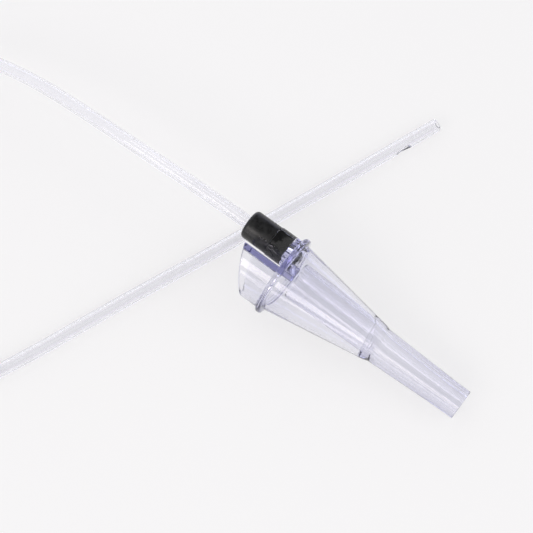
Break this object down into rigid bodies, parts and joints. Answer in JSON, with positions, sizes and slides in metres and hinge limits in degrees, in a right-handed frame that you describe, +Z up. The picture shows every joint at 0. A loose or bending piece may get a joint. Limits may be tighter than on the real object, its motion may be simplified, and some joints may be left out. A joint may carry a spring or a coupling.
{
  "type": "suction catheter with thumb-control connector",
  "caption": "Clear suction catheter: flexible tube with an open side-eyed tip, colour-coded coupler, and a cone connector with thumb port and nozzle.",
  "frame": {"origin": "middle of the box of the connector and coupler in plan, on the table that they lie on", "axes": "+Z up, +X along the connector towards the nozzle's tip, level; the catheter's socket is on the +Y side"},
  "size_m": [0.1885, 0.1515, 0.021],
  "materials": {
    "clear_connector": "clear glossy moulded plastic",
    "black_coupler": "semi-gloss black soft plastic",
    "clear_tube": "clear soft plastic with a slight blue-violet tint"
  },
  "bodies": {
    "connector": {"nozzle_cone": "clear_connector", "port_housing": "clear_connector"},
    "catheter": {"colour_coupler": "black_coupler", "catheter_tube": "clear_tube", "catheter_tip": "clear_tube"}
  },
  "joints": [
    {"name": "coupler_pull", "type": "slide", "parent": "connector", "child": "catheter", "axis": [-0.9914, 0, 0.131], "range_m": [0, 0.0075]}
  ]
}
